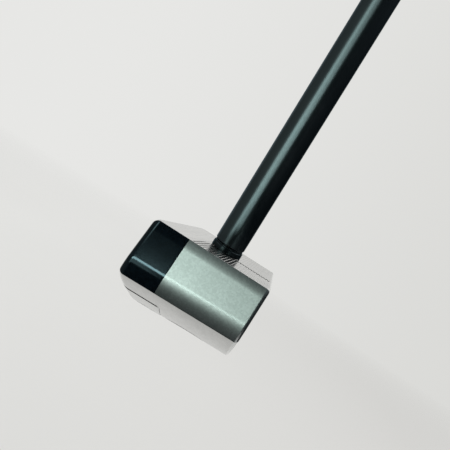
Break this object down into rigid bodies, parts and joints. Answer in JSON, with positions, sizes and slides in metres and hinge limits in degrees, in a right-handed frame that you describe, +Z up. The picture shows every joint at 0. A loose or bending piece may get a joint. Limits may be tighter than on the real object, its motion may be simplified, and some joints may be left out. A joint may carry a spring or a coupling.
{
  "type": "golf putter",
  "caption": "Blade golf putter: a dark front block joined to a blasted metal body, a straight dark shaft set behind the face and a flat-fronted rubber grip.",
  "frame": {"origin": "on the flat at the middle of the sole, half way between heel and toe and between the face and the back at the crown", "axes": "+Z up with the club at address, +Y from heel to toe, +X from the face to the back"},
  "size_m": [0.0346, 0.2295, 0.8524],
  "materials": {
    "black_block": "black anodised, fine satin",
    "silver_body": "bead-blasted satin with milled crown and sole",
    "sole_steel": "milled satin",
    "weight_steel": "turned satin",
    "black_screws": "black oxide",
    "bright_steel": "ground",
    "black_shaft": "black satin coating",
    "black_collar": "black satin",
    "black_rubber": "matte, finely textured",
    "seal_rubber": "smooth",
    "grip_tape": "matte adhesive tape",
    "cap_plastic": "matte",
    "plug_cork": "cork"
  },
  "bodies": {
    "root": {"face_block": "black_block", "rear_body": "silver_body", "sole_plate": "sole_steel", "heel_plate_screw": "black_screws", "toe_plate_screw": "black_screws", "heel_weight": "weight_steel", "toe_weight": "weight_steel", "heel_weight_seal": "seal_rubber", "toe_weight_seal": "seal_rubber", "heel_block_screw": "black_screws", "toe_block_screw": "black_screws", "heel_block_dowel": "bright_steel", "toe_block_dowel": "bright_steel", "shaft_post": "bright_steel", "shaft_collar": "black_collar", "shaft": "black_shaft", "shaft_tip_plug": "plug_cork", "grip_tape": "grip_tape", "grip": "black_rubber", "grip_cap": "cap_plastic"}
  },
  "joints": []
}
